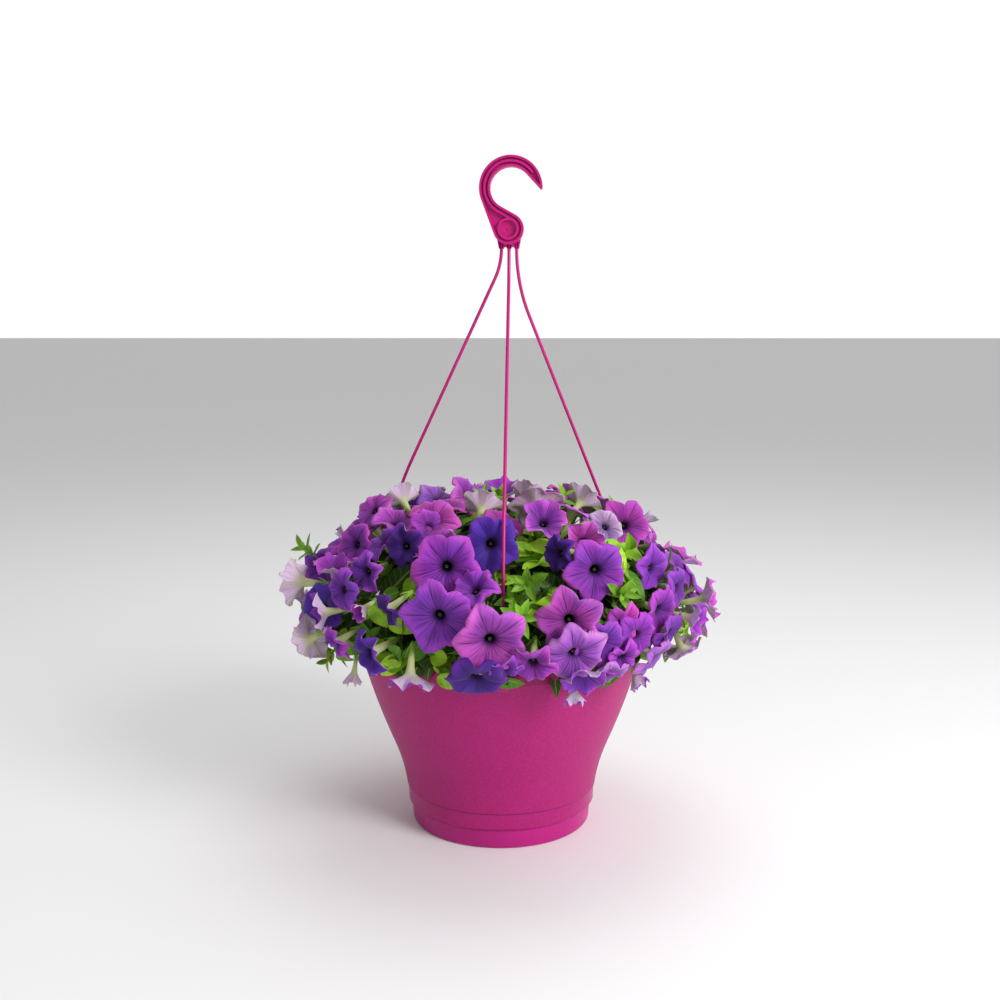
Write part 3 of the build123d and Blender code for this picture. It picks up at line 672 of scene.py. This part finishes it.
# Where the front shows leaves: left, right, foot and top in mm.
LEAFY_PATCHES = (
    (0, 100, 225, 325),
    (-125, -25, 190, 290),
    (105, 170, 262, 318),
    (-190, -150, 180, 235),
)
FINE, COARSE = (60, 14), (40, 9)  # points around and along a flower
ROD_POINTS = sorted((v.co.z, v.co.y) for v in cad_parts["hanger_rod_front"].data.vertices)
ROD_PARTING = 20 * MM  # growth keeps this far to each side of the front rod
ROD_BACK = 12 * MM  # or this far behind it
PETAL_PARTING = 8 * MM  # a flower keeps this much more
ROD_CLEAR_FROM = 256 * MM  # above this height the rod stands in front of the growth


def behind_rod(at, reach):
    """Moves a point back so that what grows there leaves the front rod in the open."""
    if at.z > ROD_CLEAR_FROM and abs(at.x) < ROD_PARTING + reach:
        rod_y = float(np.interp(at.z, [p[0] for p in ROD_POINTS], [p[1] for p in ROD_POINTS]))
        return Vector((at.x, max(at.y, rod_y + ROD_BACK), at.z))
    return at


def patch_of(at):
    """True where the front shows leaves in place of flowers."""
    side, up = at.x / MM, at.z / MM
    return at.y < 0 and any(a < side < b and c < up < d for a, b, c, d in LEAFY_PATCHES)


def way_out(across, lift):
    """The direction that is so many degrees round to the right of the front, and upwards."""
    a, e = math.radians(across), math.radians(lift)
    return Vector((math.sin(a) * math.cos(e), -math.cos(a) * math.cos(e), math.sin(e)))


def flower_spots():
    """Every flower's place: those of the front list, then the rest round and over the mound."""
    dice = random.Random(11)
    spots = []
    for side, up, across, lift, width, form, tint in FRONT_FLOWERS:
        inset = FRONT_INSET if abs(side) < OUTER_SIDE else OUTER_INSET
        at = behind_rod(front_point(side * MM, up * MM, inset), PETAL_PARTING)
        spots.append({"at": at, "facing": way_out(across, lift)})
        spots[-1] |= {"width": width, "form": form, "tint": tint}
    tries = 0
    while len(spots) < len(FRONT_FLOWERS) + BACK_FLOWERS and tries < 20000:
        tries += 1
        lift = math.degrees(math.asin(dice.uniform(-0.75, 0.98)))
        at, out = mound_point(dice.uniform(0, 360), lift, dice.uniform(*BACK_INSET) * MM)
        jitter = Vector([dice.gauss(0, BACK_TURN) for _ in range(3)])
        width = dice.uniform(*BACK_WIDTHS)
        form, tint = dice.choice(BACK_FORMS), dice.choice(BACK_TINTS)
        if at.z < LOWEST_FLOWER or patch_of(at) or behind_rod(at, 0.0) != at:
            continue
        spacing = FRONT_SPACING if at.y < 0 else FLOWER_SPACING
        if min((at - s["at"]).length for s in spots) < spacing:
            continue
        spots.append({"at": at, "facing": (out + jitter).normalized()})
        spots[-1] |= {"width": width, "form": form, "tint": tint}
    for index, spot in enumerate(spots):
        spot["turn"] = turn_to(spot["facing"], dice.uniform(0, math.tau))
        spot["size"] = spot["width"] / (2 * FACE_R)
        coarse = index >= len(FRONT_FLOWERS)
        spot["shape"] = FORM[spot["form"]] + coarse * len(FLOWER_FORMS)
        inner, outer = FACE_TINTS[spot["tint"]]
        spot["tint"] = [c * dice.uniform(0.88, 1.12) for c in linear(inner)[:3]] + [1.0]
        spot["rim_tint"] = [c * dice.uniform(0.88, 1.12) for c in linear(outer)[:3]] + [1.0]
    return spots


FLOWERS = flower_spots()
flower_shapes = shape_collection(
    "flower_shapes", [flower_mesh(form, *grid) for grid in (FINE, COARSE) for form in FLOWER_FORMS]
)
petal_finish = petal_material()
for plant in PLANTS:
    own = [s for s in FLOWERS if plant_of(s["at"]) == plant]
    piece = scatter(f"petunia_blooms_{plant}", own, flower_shapes, petal_finish)
    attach(piece, "basket")
    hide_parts(f"petunia_flowers_{plant}")


# ---- Petunia leaves: soft ovals with a sunken midrib, bright at the edge of the plant and
# painted darker inside it for the shade there, with narrow young leaves on the shoots that
# stick out. A calyx of five narrow sepals holds each flower's tube.
LEAF_COUNT = 3400
LAYER_INSETS = ((14, 26), (26, 42), (40, 64))  # mm under the mound, for the three layers
LEAF_SIZES, LEAF_SHADES = (0.7, 1.1), (0.8, 1.15)
LEAF_TURN = 0.4  # how far leaves turn away from straight outwards
PATCH_LEAVES = 60
DEEP_LEAVES, DEEP_INSET = 700, (45, 100)  # dark leaves with painted shade that close the mound's inside
LEAF_FORMS = (
    # (name, length mm, width mm, bend, trough)
    ("oval", 34, 17, 0.4, 0.3),
    ("broad", 29, 19, 0.25, 0.4),
    ("curled", 36, 14, 0.9, 0.45),
    ("narrow", 28, 8, 0.5, 0.35),
)
SEPAL = (15, 3.4, -0.25, 0.3)
SEPAL_RISE = 62  # degrees that a sepal is turned up along the tube
SHOOT_HEIGHT, SHOOT_R, SHOOT_LEAVES = 20.0, 0.9, 7
LEAF_THICKNESS = 0.5
UNTURNED = Euler((0, 0, 0)).to_quaternion()


def leaf_blade(length, width, bend, trough, along=7):
    """Points, marks and faces of a closed leaf that lies along +Y from its stalk, facing +Z."""
    points, marks, faces = [], [], []
    for under in (0, 1):
        for j in range(along + 1):
            t = j / along
            rounding = math.sin(math.pi * min(1.0, t * 0.92 + 0.06) ** 0.85)
            w = width / 2 * rounding**0.75
            for u in (-1.0, -0.5, 0.0, 0.5, 1.0):
                z = -bend * length * 0.35 * t**2 + trough * w * abs(u) ** 1.5
                z -= LEAF_THICKNESS * (1 - abs(u)) * math.sin(math.pi * t) * under
                points.append(Vector((u * w, length * (t - 0.02 * abs(u)), z)) * MM)
                marks.append((u, t, float(under)))
    row, count = 5, len(points) // 2
    for j in range(along):
        for i in range(row - 1):
            a, b = j * row + i, j * row + i + 1
            c, d = b + row, a + row
            faces.append((a, b, c, d))
            faces.append((count + a, count + d, count + c, count + b))
    return points, marks, faces


def leaf_group(name, blades):
    """One mesh of several blades, each (blade, place in metres, turn)."""
    points, marks, faces = [], [], []
    for (own_points, own_marks, own_faces), place, turn in blades:
        first = len(points)
        points += [turn @ p + Vector(place) for p in own_points]
        marks += own_marks
        faces += [tuple(first + i for i in face) for face in own_faces]
    return as_mesh(name, points, faces, {"leaf_place": ("FLOAT_VECTOR", marks)})


def stalk(length, radius):
    """Points, marks and faces of a thin round stalk along +Z."""
    around = 6
    points, marks, faces = [], [], []
    for level in (0, 1):
        for i in range(around):
            a = math.tau * i / around
            r = radius * (1 - 0.4 * level)
            points.append(Vector((r * math.cos(a), r * math.sin(a), length * level)) * MM)
            marks.append((0.5, 0.5, 0.0))
    for i in range(around):
        n = (i + 1) % around
        faces.append((i, n, around + n, around + i))
    faces.append(tuple(reversed(range(around))))
    faces.append(tuple(range(around, 2 * around)))
    return points, marks, faces


def calyx_mesh():
    """Five sepals round the foot of a flower's tube, in the flower's own frame."""
    blades = []
    foot = Vector((0, 0, -(TUBE_LENGTH + 2) * MM))
    rise = Euler((math.radians(SEPAL_RISE), 0, 0)).to_quaternion()
    for k in range(PETALS):
        turn = Euler((0, 0, math.tau * k / PETALS)).to_quaternion() @ rise
        blades.append((leaf_blade(*SEPAL, along=4), foot, turn))
    return leaf_group("calyx", blades)


def shoot_mesh(seed):
    """A young shoot: a stalk with narrow leaves up it, closer and smaller to the tip."""
    dice = random.Random(seed)
    blades = [(stalk(SHOOT_HEIGHT, SHOOT_R), (0, 0, 0), UNTURNED)]
    for k in range(SHOOT_LEAVES):
        share = k / (SHOOT_LEAVES - 1)
        length = 23 - 8 * share
        width, bend = length * dice.uniform(0.38, 0.5), dice.uniform(0.1, 0.7)
        blade = leaf_blade(length, width, bend, 0.35, along=5)
        rise = Euler((math.radians(22 + 34 * share), 0, 0)).to_quaternion()
        turn = Euler((0, 0, 2.4 * k)).to_quaternion() @ rise
        blades.append((blade, (0, 0, SHOOT_HEIGHT * (0.25 + 0.75 * share) * MM), turn))
    return leaf_group(f"shoot_{seed}", blades)


SIDE_VEINS = 40.0 / math.tau  # about six along the leaf
LEAF_CLOUD = 8 * MM
LEAF_RELIEF = -0.4 * MM  # the ribs are sunken


def leaf_material():
    """Soft downy leaf: fresh green, paler along the midrib and side veins and underneath."""
    material, tree, shader = new_material("petunia_leaf")
    tint = add(tree, "ShaderNodeAttribute", attribute_name="tint")
    mark = add(tree, "ShaderNodeAttribute", attribute_name="leaf_place").node.outputs["Vector"]
    across, along, under = add(tree, "ShaderNodeSeparateXYZ", (mark,)).node.outputs
    side = add(tree, "ShaderNodeMath", (across,), operation="ABSOLUTE")
    rib = add(tree, "ShaderNodeMapRange", (side, 0.16, 0.02, 0.0, 0.5), **EASED)
    # side veins: lines that slant back from the midrib
    back = add(tree, "ShaderNodeMath", (side, 0.22), operation="MULTIPLY")
    slant = add(tree, "ShaderNodeMath", (along, back), operation="SUBTRACT")
    rows = add(tree, "ShaderNodeMath", (slant, SIDE_VEINS * math.tau), operation="MULTIPLY")
    wave = add(tree, "ShaderNodeMath", (rows,), operation="SINE")
    veins = add(tree, "ShaderNodeMapRange", (wave, 0.8, 1.0, 0.0, 0.16), **EASED)
    lines = add(tree, "ShaderNodeMath", (rib, veins), operation="MAXIMUM")
    place = add(tree, "ShaderNodeTexCoord").node.outputs["Object"]
    shades = {"Vector": place, "Scale": BLOTCH / LEAF_CLOUD, "Detail": 3.0}
    cloud = add(tree, "ShaderNodeTexNoise", shades)
    shaded = add(tree, "ShaderNodeMapRange", (cloud, 0.4, 0.68, 0.0, 0.7), **EASED)
    pale = add(tree, "ShaderNodeMath", (under, 0.4), operation="MULTIPLY")
    darker = add(tree, "ShaderNodeMix", {0: 0.5, 6: tint, 7: linear("#2F5E10")}, **PAINT)
    colour = tint
    for amount, coat in (
        (shaded, darker),
        (lines, linear("#A4C83C")),
        (pale, linear("#98B44C")),
    ):
        colour = add(tree, "ShaderNodeMix", {0: amount, 6: colour, 7: coat}, **PAINT)
    normal = add(tree, "ShaderNodeBump", {"Height": lines, "Distance": LEAF_RELIEF})
    feed(shader, {"Base Color": colour, "Normal": normal})
    feed(shader, {"Roughness": 0.45, "Specular IOR Level": 0.25})
    return material


LEAF_TINTS = ("#8CBC1C", "#98CA24", "#78AE1A", "#549014", "#A6D42C")
# Painted shade: the middle layer is darker, and the inner layer and the deep leaves are nearly
# black-green, for the shade inside the mound.
MIDDLE_LEAF_PAINTED_SHADE_TINTS = ("#528C10", "#42780E", "#629C16")
INNER_LEAF_PAINTED_SHADE_TINTS = ("#1C3606", "#264608", "#2E520A")
SHOOT_TINT, BACK_SHOOT_TINT, CALYX_TINT = "#84BC36", "#86C034", "#7FB23A"
LOWEST_LEAF = 200 * MM
# Young shoots that stick out: across and up in mm, lean to the side and upwards in degrees.
FRONT_SHOOTS = (
    (-190, 276, -70, 40), (-182, 268, -60, 60), (-150, 300, -50, 55), (-70, 345, -20, 80),
    (-2, 346, 10, 85), (-14, 342, -30, 70), (150, 290, 55, 45), (170, 272, 70, 30),
    (-176, 196, -80, -20), (-186, 206, -85, 10), (-165, 190, -60, -40), (-112, 282, -30, 20),
    (-95, 268, -20, 10), (-96, 240, -30, 0), (-70, 228, 0, 10), (20, 312, 20, 40),
    (36, 300, 10, 20), (28, 282, -20, 10), (60, 340, 30, 70), (110, 312, 40, 60),
    (12, 268, 0, 0), (40, 276, 20, 0), (-84, 216, -10, -10), (104, 268, 30, 10),
)
BACK_SHOOTS = 60
SHOOT_INSET, BACK_SHOOT_INSET = 30 * MM, 36 * MM
SHOOT_SHADES = (0.8, 1.1)
NEARBY = 70 * MM  # only flowers this near can be touched by a leaf
OVER_FACE, IN_CUP = 40 * MM, 7 * MM  # leaves keep out of this much before and behind a face
TUBE_SHARE, FACE_SHARE = 0.16, 0.5  # half-widths of the tube and face, of the flower's width


def green_spot(at, facing, roll, size, shape, colour, shade):
    """One leaf's or shoot's place, with its colour made lighter or darker."""
    tint = [min(1.0, c * shade) for c in linear(colour)[:3]] + [1.0]
    spot = {"at": at, "turn": turn_to(facing, roll), "size": size, "shape": shape}
    return spot | {"tint": tint, "rim_tint": tint}


def crosses_flower(spot, length):
    """True where a leaf would lie over a flower's face or the front rod, or cross a tube."""
    along = spot["turn"].to_matrix() @ Vector((0, length * spot["size"] * MM, 0))
    for share in (0.5, 1.0):
        point = spot["at"] + along * share
        if behind_rod(point, -PETAL_PARTING) != point:
            return True
    for flower in FLOWERS:
        if (flower["at"] - spot["at"]).length > NEARBY:
            continue
        for share in (0.0, 0.33, 0.66, 1.0):
            away = spot["at"] + along * share - flower["at"]
            ahead = away.dot(flower["facing"])
            aside = (away - flower["facing"] * ahead).length
            reach = flower["width"] * (FACE_SHARE if ahead > -IN_CUP else TUBE_SHARE) * MM
            if -TUBE_LENGTH * MM < ahead < OVER_FACE and aside < reach:
                return True
    return False


def hides_face(at, facing):
    """True where a shoot would come up in front of a flower."""
    tip = at + facing * SHOOT_HEIGHT * 1.4 * MM
    for flower in FLOWERS:
        for away in (tip - flower["at"], (tip + at) / 2 - flower["at"]):
            ahead = away.dot(flower["facing"])
            aside = (away - flower["facing"] * ahead).length
            if -4 * MM < ahead < 30 * MM and aside < flower["width"] * 0.42 * MM:
                return True
    return False


def leaf_spots():
    """Leaves in three layers: bright ones among the flowers and ones behind that are painted
    darker for the shade inside the mound, then the young shoots and a calyx for each flower."""
    dice = random.Random(23)
    spots = []
    calyx = len(LEAF_FORMS)
    shoots = (calyx + 1, calyx + 2)
    for index in range(LEAF_COUNT):
        layer = index % len(LAYER_INSETS)
        inset = [dice.uniform(*span) for span in LAYER_INSETS][layer] * MM
        lift = math.degrees(math.asin(dice.uniform(-0.7, 1.0)))
        at, out = mound_point(dice.uniform(0, 360), lift, inset)
        jitter = Vector([dice.gauss(0, LEAF_TURN) for _ in range(3)])
        # painted shade: the deeper a layer, the darker its tints; the middle layer takes the
        # bright ones where the front shows leaves
        tints = (LEAF_TINTS, MIDDLE_LEAF_PAINTED_SHADE_TINTS, INNER_LEAF_PAINTED_SHADE_TINTS)[layer]
        if patch_of(at) and layer == 1:
            tints = LEAF_TINTS
        colour, shade = dice.choice(tints), dice.uniform(*LEAF_SHADES)
        roll, size = dice.uniform(0, math.tau), dice.uniform(*LEAF_SIZES)
        form = dice.choice([0, 0, 1, 1, 2, 3])
        if at.z < LOWEST_LEAF or (layer < 2 and behind_rod(at, 0.0) != at):
            continue
        spot = green_spot(at, (out + jitter).normalized(), roll, size, form, colour, shade)
        if not crosses_flower(spot, LEAF_FORMS[form][1]):
            spots.append(spot)
    for left, right, foot, top in LEAFY_PATCHES:
        for _ in range(PATCH_LEAVES):
            side = dice.uniform(left, right) * MM
            up = dice.uniform(max(foot, LOWEST_LEAF / MM), top) * MM
            at = behind_rod(front_point(side, up, dice.uniform(16, 34) * MM), 0.0)
            jitter = Vector([dice.gauss(0, LEAF_TURN) for _ in range(3)])
            facing = (Vector((at.x, at.y, 0)).normalized() + jitter).normalized()
            form, tint = dice.choice([0, 1, 2]), dice.choice(LEAF_TINTS)
            roll, size = dice.uniform(0, math.tau), dice.uniform(0.8, 1.15)
            spot = green_spot(at, facing, roll, size, form, tint, dice.uniform(0.9, 1.2))
            if not crosses_flower(spot, LEAF_FORMS[form][1]):
                spots.append(spot)
    # painted shade: large dark leaves deep in the mound stand in for the shade inside it
    for _ in range(DEEP_LEAVES):
        azimuth, lift = dice.uniform(0, 360), dice.uniform(-10, 85)
        at, out = mound_point(azimuth, lift, dice.uniform(*DEEP_INSET) * MM)
        roll, shade = dice.uniform(0, math.tau), dice.uniform(0.7, 1.1)
        size = dice.uniform(1.2, 1.6)
        spots.append(green_spot(at, out, roll, size, 1, dice.choice(INNER_LEAF_PAINTED_SHADE_TINTS), shade))
    for side, up, across, lift in FRONT_SHOOTS:
        lowered = min(up, MOUND_TOP / MM - 30) * MM
        at = behind_rod(front_point(side * MM, lowered, SHOOT_INSET), 0.0)
        facing = way_out(across, lift)
        if not hides_face(at, facing):
            roll, shape = dice.uniform(0, 6), dice.choice(shoots)
            shade = dice.uniform(*SHOOT_SHADES)
            spots.append(green_spot(at, facing, roll, 1.0, shape, SHOOT_TINT, shade))
    for _ in range(BACK_SHOOTS):
        lift = math.degrees(math.asin(dice.uniform(-0.3, 0.95)))
        at, out = mound_point(dice.uniform(0, 360), lift, BACK_SHOOT_INSET)
        if hides_face(at, out) or (at.y < 0 and (behind_rod(at, 0.0) != at or not patch_of(at))):
            continue
        roll, shape = dice.uniform(0, 6), dice.choice(shoots)
        shade = dice.uniform(*SHOOT_SHADES)
        spots.append(green_spot(at, out, roll, 0.95, shape, BACK_SHOOT_TINT, shade))
    green = linear(CALYX_TINT)
    for flower in FLOWERS:
        spots.append({**flower, "shape": calyx, "tint": green, "rim_tint": green})
    return spots


LEAVES = leaf_spots()
greenery = [
    leaf_group("leaf_" + name, [(leaf_blade(*sizes), (0, 0, 0), UNTURNED)])
    for name, *sizes in LEAF_FORMS
]
greenery += [calyx_mesh(), shoot_mesh(41), shoot_mesh(42)]
leaf_shapes = shape_collection("leaf_shapes", greenery)
leaf_finish = leaf_material()
for plant in PLANTS:
    own = [s for s in LEAVES if plant_of(s["at"]) == plant]
    piece = scatter(f"petunia_leaves_{plant}_grown", own, leaf_shapes, leaf_finish)
    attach(piece, "basket")
    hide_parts(f"petunia_leaves_{plant}")


# ---- Floor, light and camera: a plain pale studio, lit softly from the front right.
FRONT_GLOW, BACKDROP_GLOW, RIGHT_GLOW = 0.3, 1.0, 0.45  # light of the studio's walls
FLOOR_REACH = 40  # metres to each side
FLOOR_COLOUR = "#FAFAFA"
LIT_POINT = (0, 0, 0.3)
# Name, place, width in metres and power in watts of each soft light.
LIGHTS = (
    ("key_light", (1.5, -1.5, 1.3), 1.0, 40),
    ("fill_light", (-1.6, -1.4, 0.9), 1.6, 2),
    ("top_light", (0.1, 0.5, 2.2), 1.5, 12),
)
LENS, FILM = 43.35, 36.0  # mm
CAMERA_PLACE, CAMERA_DOWN = (-0.0012, -1.225, 0.517), 0.1462  # metres, radians


def studio_floor():
    """A large pale matt floor."""
    reach = FLOOR_REACH
    corners = [(-reach, -reach, 0), (reach, -reach, 0), (reach, reach, 0), (-reach, reach, 0)]
    mesh = bpy.data.meshes.new("floor")
    mesh.from_pydata(corners, [], [(0, 1, 2, 3)])
    floor = bpy.data.objects.new("floor", mesh)
    bpy.context.scene.collection.objects.link(floor)
    material, _, shader = new_material("studio_floor")
    feed(shader, {"Base Color": linear(FLOOR_COLOUR), "Roughness": 0.9})
    floor.data.materials.append(material)


def soft_light(name, place, width, power):
    """A square lamp that faces the middle of the object."""
    lamp = bpy.data.lights.new(name, "AREA")
    lamp.size, lamp.energy = width, power
    light = bpy.data.objects.new(name, lamp)
    light.location = place
    facing = Vector(LIT_POINT) - Vector(place)
    light.rotation_euler = facing.to_track_quat("-Z", "Y").to_euler()
    bpy.context.scene.collection.objects.link(light)


def studio_walls():
    """An even white glow, brightest behind the object and dimmest in front of it."""
    world = bpy.data.worlds.new("studio")
    bpy.context.scene.world = world
    world.use_nodes = True
    tree = world.node_tree
    direction = add(tree, "ShaderNodeTexCoord").node.outputs["Generated"]
    side, depth, _ = add(tree, "ShaderNodeSeparateXYZ", (direction,)).node.outputs
    to_back = (depth, 0.6, 0.88, FRONT_GLOW, BACKDROP_GLOW)
    backdrop = add(tree, "ShaderNodeMapRange", to_back, **EASED)
    right = add(tree, "ShaderNodeMapRange", (side, -0.2, 0.9, 0.0, RIGHT_GLOW), **EASED)
    glow = add(tree, "ShaderNodeMath", (backdrop, right), operation="ADD")
    feed(tree.nodes["Background"], {"Color": (1, 1, 1, 1), "Strength": glow})


def camera():
    """Stands in front at the height of the flowers, and looks down a little."""
    lens = bpy.data.cameras.new("camera")
    lens.lens, lens.sensor_width = LENS, FILM
    stand = bpy.data.objects.new("camera", lens)
    stand.location = CAMERA_PLACE
    stand.rotation_euler = (math.pi / 2 - CAMERA_DOWN, 0, 0)
    bpy.context.scene.collection.objects.link(stand)
    bpy.context.scene.camera = stand


studio_floor()
for light in LIGHTS:
    soft_light(*light)
studio_walls()
camera()
bpy.context.scene.view_settings.view_transform = "Standard"
